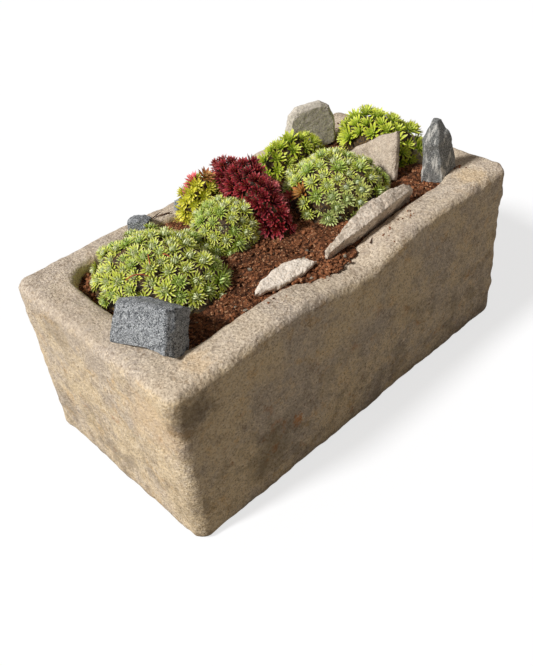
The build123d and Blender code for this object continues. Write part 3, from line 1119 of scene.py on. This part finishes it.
@dataclass(frozen=True)
class RosetteStyle:
    """How one kind of houseleek grows. Lengths are shares of the rosette's radius.

    Args:
        leaves: How many leaves a rosette has.
        width: A full leaf's width.
        thickness: Its thickness.
        inner_lift: How steeply the youngest leaves stand, in degrees.
        outer_lift: How steeply the oldest leaves stand, in degrees.
        curl: How far the tips bend in.
        inner_length: The youngest leaves' length.
        belly: Where along the leaf it is widest, from 0 to 1.
        opening: How gradually the leaves open out: 1 is evenly, and less is sooner.
        bud: Which share of the leaves is still closed over the middle.
        cuts: Where along the leaf it is cut across, so that it can bend there.
    """

    leaves: int
    width: float
    thickness: float
    inner_lift: float
    outer_lift: float
    curl: float
    inner_length: float
    belly: float
    opening: float = 0.65
    bud: float = 0.0
    cuts: tuple[float, ...] = (0.36, 0.74)

    def breadth(self, along: float) -> float:
        """The leaf's width at a place along it.

        Args:
            along: The place, from 0 at its root to 1 at its tip.

        Returns:
            The width, as a share of its full width.
        """
        if along < self.belly:
            return 0.45 + 0.55 * sin(0.5 * pi * along / self.belly)
        return cos(0.5 * pi * (along - self.belly) / (1 - self.belly)) ** 0.8

    def leaf_mesh(self, curl: float) -> bpy.types.Mesh:
        """Makes one leaf of length 1 along +X, its upper face up.

        Args:
            curl: How far its tip bends up.

        Returns:
            Its mesh data.
        """
        bm = Workshop.blank(*LEAF_VALUES)
        bmesh.ops.create_cone(bm, cap_ends=True, segments=4, radius1=1, radius2=0, depth=1,
                              matrix=Matrix.Translation((0, 0, 0.5)))
        for cut in self.cuts:
            bmesh.ops.bisect_plane(bm, geom=bm.verts[:] + bm.edges[:] + bm.faces[:], plane_co=(0, 0, cut),
                                   plane_no=(0, 0, 1))
        along = bm.verts.layers.float["along"]
        for vert in bm.verts:
            share = vert.co.z
            shrink = max(1 - share, 0.001)
            side = round(vert.co.x / shrink)
            above = round(vert.co.y / shrink)
            vert[along] = share
            half = self.width / 2 * self.breadth(share)
            deep = self.thickness / 2 * min(1.0, self.breadth(share) + 0.1) * (0.6 if above > 0 else 1.0)
            cup = 0.35 * half * abs(side)
            vert.co = (share, side * half, above * deep + curl * share ** 2 + cup)
        bmesh.ops.recalc_face_normals(bm, faces=bm.faces[:])
        return Workshop.done("leaf", bm)

    def rosette_mesh(self, chance: random.Random) -> bpy.types.Mesh:
        """Makes one rosette of radius 1, open towards +Z.

        Args:
            chance: The source of chance.

        Returns:
            The mesh.
        """
        leaf = self.leaf_mesh(self.curl)
        young = self.leaf_mesh(2 * self.curl)
        bm = Workshop.blank(*LEAF_VALUES)
        for index in range(self.leaves):
            share = index / (self.leaves - 1)
            length = self.inner_length + (1 - self.inner_length) * share ** 0.9
            size = length * chance.uniform(0.92, 1.06)
            turn = index * GOLDEN_TURN + chance.uniform(-0.12, 0.12)
            if share < self.bud:
                nested = share / self.bud
                size = self.inner_length * (0.9 + 0.35 * nested)
                lift, foot, wide = 84 - 26 * nested, Vector((0.08 + 0.22 * nested, 0, -0.08 * nested)), 1.6
            else:
                lift = self.inner_lift + (self.outer_lift - self.inner_lift) * share ** self.opening
                lift += chance.uniform(-5, 5)
                foot, wide = Vector((0.06 * share, 0, -0.2 * share)), 0.8 + 0.2 * share
            place = Matrix.Rotation(turn, 4, "Z") @ Matrix.Translation(foot)
            place = place @ Matrix.Rotation(-radians(lift), 4, "Y")
            place = place @ Matrix.Diagonal((size, size * wide, size * wide, 1))
            Workshop.add(bm, young if share < self.bud else leaf, place, {"ring": share})
        bpy.data.meshes.remove(leaf)
        bpy.data.meshes.remove(young)
        return Workshop.done("rosette", bm)


class Habit(Enum):
    """The kinds of houseleek in the trough."""

    SPIKY = RosetteStyle(leaves=44, width=0.22, thickness=0.11, inner_lift=88, outer_lift=4, curl=0.20,
                         inner_length=0.40, belly=0.42, opening=0.42, bud=0.32)
    NEAT = RosetteStyle(leaves=50, width=0.26, thickness=0.11, inner_lift=88, outer_lift=8, curl=0.24,
                        inner_length=0.40, belly=0.5, opening=0.45, bud=0.42)
    OPEN = RosetteStyle(leaves=26, width=0.25, thickness=0.08, inner_lift=87, outer_lift=22, curl=0.08,
                        inner_length=0.6, belly=0.5)
    POINTED = RosetteStyle(leaves=26, width=0.30, thickness=0.08, inner_lift=88, outer_lift=24, curl=0.14,
                           inner_length=0.6, belly=0.5)


@dataclass(frozen=True)
class Patch:
    """A spot in a clump where another kind grows.

    Args:
        place: Its middle, in metres.
        reach: How far it goes, in metres.
        habit: The kind that grows there.
        finish: That kind's finish.
    """

    place: tuple[float, float]
    reach: float
    habit: Habit
    finish: Finish


@dataclass(frozen=True)
class Clump:
    """A clump of houseleeks on its cushion.

    Args:
        node: The CAD node that it stands for.
        name: The piece's name.
        place: The cushion's middle on the compost, in metres.
        reach: Its half sizes, in metres.
        turn: How far it is turned, in degrees.
        habit: The kind of houseleek.
        finish: Its finish.
        radius: The rosettes' usual radius, in metres.
        patches: Where other kinds grow.
        crowding: The least distance between rosettes, in radii.
        growth: The smallest and the largest rosette, as shares of the usual radius.
        clearance: How far they keep from the stones, in their own radii.
        scatter: How much they lean about by chance.
        sunk: How deep the deepest ones sit, in their own radii.
        limit: How far down its sides the rosettes go, in degrees from the top.
        tries: How many seats are tried.
        swell: How much the dome bulges and dips, as a share of its size, and how often.
        sunward: How far, and which way, the rosettes lean to the light.
        cushion: How much of the dome the old leaves under the rosettes fill.
        skirt: How far under its middle they begin, in metres.
        voxel: The size of their faces, in metres.
        lumps: The lumps of the old leaves.
    """

    node: str
    name: str
    place: Place
    reach: Place
    turn: float
    habit: Habit
    finish: Finish
    radius: float
    patches: tuple[Patch, ...] = ()
    crowding: float = 1.25
    growth: tuple[float, float] = (0.72, 1.12)
    clearance: float = 0.75
    scatter: float = 0.12
    sunk: float = 0.3
    limit: float = 92.0
    tries: int = 2200
    swell: tuple[float, float] = (0.20, 3.2)
    sunward: Vector = Vector((-0.2, -0.2, 0.2)).freeze()
    cushion: float = 0.9
    skirt: float = 4 * MM
    voxel: float = 5 * MM
    lumps: tuple[tuple[float, float], ...] = ((0.02, 3 * MM), (0.009, 5 * MM))

    @property
    def standing(self) -> Matrix:
        """Where and how the dome stands."""
        return Matrix.Translation(self.place) @ Matrix.Rotation(radians(self.turn), 4, "Z")

    def rays(self) -> list[Vector]:
        """Gives the directions in which seats are tried.

        Returns:
            The directions, for a dome of radius 1: to the middle of each patch, then along a spiral.
        """
        back = self.standing.inverted()
        rays = []
        for patch in self.patches:
            local = back @ Vector((*patch.place, 0))
            x, y = local.x / self.reach[0], local.y / self.reach[1]
            rays.append(Vector((x, y, sqrt(max(0.0, 1 - x * x - y * y)))).normalized())
        for step in range(self.tries):
            polar = acos(1 - (step + 0.5) / self.tries * (1 - cos(radians(self.limit))))
            turn = step * GOLDEN_TURN * 7
            rays.append(Vector((sin(polar) * cos(turn), sin(polar) * sin(turn), cos(polar))))
        return rays

    def seats(self, surfaces: Surfaces, chance: random.Random) -> list[Matrix]:
        """Finds where rosettes sit on the dome, clear of each other, of the stones and of the rim.

        Args:
            surfaces: What they must keep clear of.
            chance: The source of chance.

        Returns:
            Each rosette's place.
        """
        middle = self.standing
        depth, rate = self.swell
        kept: list[tuple[Vector, float, Matrix]] = []
        for ray in self.rays():
            swell = 1 + depth * noise.noise(ray * rate + Vector((self.turn, self.radius * 900, 0)))
            point = middle @ Vector(axis * part * swell for axis, part in zip(self.reach, ray))
            normal = (middle.to_3x3() @ Vector(part / axis for axis, part in zip(self.reach, ray))).normalized()
            size = self.radius * chance.uniform(*self.growth)
            if any((point - other).length < self.crowding * 0.5 * (size + near) for other, near, _ in kept):
                continue
            if not surfaces.clear(point, STONES, self.clearance * size):
                continue
            below = surfaces.trees["trough"].ray_cast(point - 0.3 * DOWN, DOWN)[0]
            if below is not None and below.z > max(point.z - 0.5 * size, RIM_FROM):
                continue
            lean = Vector((chance.gauss(0, self.scatter), chance.gauss(0, self.scatter), 0))
            up = (normal + self.sunward).normalized() + lean
            spin = Matrix.Rotation(chance.uniform(0, 2 * pi), 4, "Z")
            sunk = Matrix.Translation(point - chance.uniform(0.0, self.sunk) * size * normal)
            aim = up.to_track_quat("Z", "Y").to_matrix().to_4x4()
            kept.append((point, size, sunk @ aim @ spin @ Matrix.Scale(size, 4)))
        return [place for _, _, place in kept]

    def thatch(self) -> None:
        """Makes the dark cushion of old leaves under the rosettes, with the root ball; its dark brown is partly painted
        shade in the gaps between the rosettes.
        """
        bm = Workshop.skin(Workshop.node_copy(self.node), self.voxel)
        level = self.place[2]
        middle = self.standing
        back = middle.inverted()
        for vert in bm.verts:
            if vert.co.z < level - self.skirt:
                continue
            local = back @ vert.co
            share = Vector(part / axis for part, axis in zip(local, self.reach)).length
            if share > self.cushion:
                local *= self.cushion / share
            vert.co = middle @ local
        Relief(self.lumps, self.turn).carve(bm, lambda point: float(point.z > level))
        # the cushion's dark finish is partly painted shade between the rosettes
        Workshop.piece(f"{self.name}_thatch", bm, Finishes.THATCH_AND_SHADE, [self.node])

    def build(self, surfaces: Surfaces, chance: random.Random) -> None:
        """Makes the clump.

        Args:
            surfaces: What it must keep clear of.
            chance: The source of chance.
        """
        self.thatch()
        kinds: dict[tuple[Habit, Finish], bmesh.types.BMesh] = {}
        variants: dict[Habit, list[bpy.types.Mesh]] = {}
        for place in self.seats(surfaces, chance):
            habit, finish = self.habit, self.finish
            for patch in self.patches:
                if (place.translation.xy - Vector(patch.place)).length < patch.reach:
                    habit, finish = patch.habit, patch.finish
            if habit not in variants:
                variants[habit] = [habit.value.rosette_mesh(chance) for _ in range(4)]
            if (habit, finish) not in kinds:
                kinds[habit, finish] = Workshop.blank(*LEAF_VALUES)
            Workshop.add(kinds[habit, finish], chance.choice(variants[habit]), place, {"tone": chance.random()})
        for number, ((_, finish), bm) in enumerate(kinds.items()):
            Workshop.piece(f"{self.name}_rosettes_{number}", bm, finish, [self.node])


@dataclass(frozen=True)
class Studio:
    """The floor, the light and the camera.

    Args:
        eye: Where the camera is, in metres.
        yaw: Its heading, in degrees from +X.
        pitch: How far it looks down, in degrees.
        roll: How far it is turned about its line of sight, in degrees.
        lens: Its focal length for its sensor, in millimetres.
        sensor: The sensor's width, in millimetres.
        sun_place: Where the sun shines from, in metres.
        sun_width: How wide the sun is, in degrees.
        sun_strength: Its strength.
        sun_colour: Its colour.
        sky_strength: The strength of the even light.
        sky_colour: Its colour.
        floor_reach: Half the floor's width, in metres.
        floor_glow: How much the floor shines to the camera, so that it shows white and keeps its shadows.
    """

    eye: Place = (-0.7854, -0.9295, 1.1005)
    yaw: float = 51.54
    pitch: float = -39.86
    roll: float = -7.82
    lens: float = 43.04
    sensor: float = 36
    sun_place: Place = (-2.5, 0.5, 2.5)
    sun_width: float = 9
    sun_strength: float = 3.6
    sun_colour: tuple[float, float, float] = (1.0, 0.97, 0.93)
    sky_strength: float = 0.17
    sky_colour: Colour = (1.0, 0.87, 0.77, 1.0)
    floor_reach: float = 8
    floor_glow: float = 0.72

    def camera(self) -> None:
        """Makes the camera."""
        yaw, pitch, roll = (radians(angle) for angle in (self.yaw, self.pitch, self.roll))
        ahead = Vector((cos(pitch) * cos(yaw), cos(pitch) * sin(yaw), sin(pitch)))
        level = ahead.cross(Vector((0, 0, 1))).normalized()
        upright = level.cross(ahead)
        right = cos(roll) * level + sin(roll) * upright
        up = cos(roll) * upright - sin(roll) * level
        data = bpy.data.cameras.new("camera")
        data.lens = self.lens
        data.sensor_width = self.sensor
        camera = bpy.data.objects.new("camera", data)
        turn = Matrix((right, up, -ahead)).transposed().to_4x4()
        camera.matrix_world = Matrix.Translation(self.eye) @ turn
        bpy.context.scene.collection.objects.link(camera)
        bpy.context.scene.camera = camera

    def sun(self) -> None:
        """Makes the one lamp, soft and even."""
        data = bpy.data.lights.new("key", "SUN")
        data.angle = radians(self.sun_width)
        data.energy = self.sun_strength
        data.color = self.sun_colour
        lamp = bpy.data.objects.new("key", data)
        aim = (-Vector(self.sun_place)).to_track_quat("-Z", "Y")
        lamp.matrix_world = Matrix.Translation(self.sun_place) @ aim.to_matrix().to_4x4()
        bpy.context.scene.collection.objects.link(lamp)

    def floor(self) -> None:
        """Makes the floor: white to the camera, and pale and slightly warm where it lights the object."""
        bm = bmesh.new()
        bmesh.ops.create_grid(bm, x_segments=1, y_segments=1, size=self.floor_reach)
        mesh = Workshop.done("floor", bm)
        graph = Graph("pale_floor")
        cloud = graph.noise(0.4, 2, 0.5)
        graph.finish(graph.blend(cloud, tone(150, 144, 132), tone(154, 148, 136)), 0.9, cloud, 0.1 * MM,
                     Specular_IOR_Level=0.0)
        white = graph.node("ShaderNodeBsdfPrincipled", None, {
            "Base Color": tone(149, 151, 155), "Roughness": 0.9, "Specular IOR Level": 0.0,
            "Emission Color": (1, 1, 1, 1), "Emission Strength": self.floor_glow})
        mix = graph.node("ShaderNodeMixShader", None, {0: graph.seen(), 1: graph.shader.outputs[0],
                                                       2: white.outputs[0]})
        graph.feed(graph.tree.nodes["Material Output"].inputs["Surface"], mix.outputs[0])
        mesh.materials.append(graph.material)
        made = bpy.data.objects.new("floor", mesh)
        bpy.context.scene.collection.objects.link(made)

    def sky(self) -> None:
        """Makes the world: an even light for the object, and white where the camera sees past the floor."""
        world = bpy.data.worlds.new("studio")
        bpy.context.scene.world = world
        world.use_nodes = True
        network = Network(world.node_tree)
        light = network.node("ShaderNodeBackground", None, {"Color": self.sky_colour, "Strength": self.sky_strength})
        white = network.node("ShaderNodeBackground", None, {"Color": (1, 1, 1, 1), "Strength": 1.0})
        mix = network.node("ShaderNodeMixShader", None, {0: network.seen(), 1: light.outputs[0], 2: white.outputs[0]})
        network.feed(network.tree.nodes["World Output"].inputs["Surface"], mix.outputs[0])

    def build(self) -> None:
        """Makes everything that isn't the object."""
        self.camera()
        self.floor()
        self.sky()
        self.sun()
        bpy.context.scene.view_settings.view_transform = "Standard"


@dataclass
class PlantedTrough:
    """The whole object: trough, compost, litter, stones and clumps.

    Args:
        chance: The source of chance, which is the same each time.
        trough: The sandstone trough.
        bed: The compost.
        litter: What lies about on it.
        stones: The stones.
        clumps: The clumps of houseleeks.
    """

    chance: random.Random = field(default_factory=lambda: random.Random(11))
    trough: Trough = Trough()
    bed: Bed = Bed()
    litter: Litter = Litter()
    stones: tuple[StonePiece, ...] = (
        StonePiece("granite_sett", "tilted_granite_sett", Finishes.GRANITE, 2.2 * MM,
                   Relief(((0.04, 4 * MM), (0.012, 1.6 * MM), (0.005, 0.8 * MM)), 2.2),
                   chips=Relief(((0.03, 5 * MM), (0.010, 2.4 * MM)), 3.0)),
        StonePiece("large_granite", "granite_chunk", Finishes.GRANITE, 1.8 * MM,
                   Relief(((0.025, 3 * MM), (0.008, 1.2 * MM)), 4.6)),
        StonePiece("small_granite", "granite_chip", Finishes.GRANITE, 1.8 * MM,
                   Relief(((0.02, 2.5 * MM), (0.008, 1.2 * MM)), 7.9)),
        StonePiece("upright_slab", "standing_slab", Finishes.SPECKLED, 2.2 * MM,
                   Relief(((0.06, 2 * MM), (0.01, 0.6 * MM)), 9.4)),
        StonePiece("triangular_slab", "three_cornered_slab", Finishes.PALE_SLAB, 2.2 * MM,
                   Relief(((0.04, 3 * MM), (0.012, 1.5 * MM)), 1.4)),
        StonePiece("pointed_rock", "pointed_broken_rock", Finishes.SLATE, 2.0 * MM,
                   Relief(((0.035, 2.4 * MM), (0.012, 1.4 * MM)), 6.3), chips=Relief(((0.012, 1.2 * MM),), 3.0),
                   bulge=(0.74, 3 * MM)),
        StonePiece("leaning_slab", "leaning_thin_slab", Finishes.ROUGH_SLAB, 2.0 * MM,
                   Relief(((0.04, 3 * MM), (0.017, 2.2 * MM), (0.006, 1.4 * MM)), 5.8)),
        StonePiece("flat_slab", "flat_flaky_slab", Finishes.FLAKY_SLAB, 1.8 * MM,
                   Relief(((0.03, 1.8 * MM), (0.012, 1.6 * MM), (0.006, 1.2 * MM)), 3.7)),
    )
    clumps: tuple[Clump, ...] = (
        Clump("near_clump", "near_houseleek", (-0.2276, 0.0408, 0.327), (0.095, 0.122, 0.070), 12, Habit.SPIKY,
              Finishes.GREEN, 22 * MM),
        Clump("middle_clump", "middle_houseleek", (-0.0756, 0.0377, 0.335), (0.064, 0.062, 0.064), 0, Habit.SPIKY,
              Finishes.GREEN, 20 * MM),
        Clump("yellow_clump", "yellow_houseleek", (-0.0409, 0.1395, 0.327), (0.054, 0.040, 0.076), 0, Habit.OPEN,
              Finishes.YELLOW, 24 * MM,
              (Patch((-0.052, 0.150), 0.012, Habit.POINTED, Finishes.PINK),
               Patch((-0.037, 0.127), 0.011, Habit.OPEN, Finishes.SALMON)), crowding=0.98),
        Clump("red_clump", "dark_red_houseleek", (0.0046, 0.0654, 0.338), (0.042, 0.112, 0.088), -9, Habit.POINTED,
              Finishes.RED, 22 * MM,
              (Patch((0.031, 0.006), 0.010, Habit.POINTED, Finishes.PINK),
               Patch((0.030, 0.046), 0.008, Habit.POINTED, Finishes.PINK)), crowding=1.0),
        Clump("centre_clump", "centre_houseleek", (0.1354, -0.0273, 0.338), (0.090, 0.089, 0.077), 0, Habit.SPIKY,
              Finishes.GREEN, 22 * MM,
              (Patch((0.10, -0.115), 0.052, Habit.NEAT, Finishes.BLUE),
               Patch((0.059, -0.016), 0.014, Habit.OPEN, Finishes.DRIED),
               Patch((0.050, 0.022), 0.018, Habit.POINTED, Finishes.PINK))),
        Clump("back_clump", "back_houseleek", (0.1724, 0.1252, 0.330), (0.078, 0.038, 0.063), 0, Habit.OPEN,
              Finishes.BRIGHT, 27 * MM, crowding=1.1),
        Clump("far_clump", "far_houseleek", (0.3252, 0.0314, 0.334), (0.064, 0.094, 0.068), 0, Habit.OPEN,
              Finishes.BRIGHT, 27 * MM, crowding=1.1),
    )

    def build(self) -> None:
        """Makes every piece."""
        surfaces = Surfaces()
        self.trough.build()
        self.bed.build(surfaces, self.chance)
        self.litter.build(surfaces, self.chance)
        for stone in self.stones:
            stone.build()
        for clump in self.clumps:
            clump.build(surfaces, self.chance)
        for node, finish in (("lower_crock", Finishes.TERRACOTTA), ("upper_crock", Finishes.TERRACOTTA),
                             ("drainage_gravel", Finishes.GRAVEL)):
            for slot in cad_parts[node].material_slots:
                slot.material = finish.material()


def main() -> None:
    """Builds the object and the studio."""
    logging.basicConfig(level=logging.INFO, format="%(message)s")
    PlantedTrough().build()
    Studio().build()


if __name__ == "__main__":
    main()
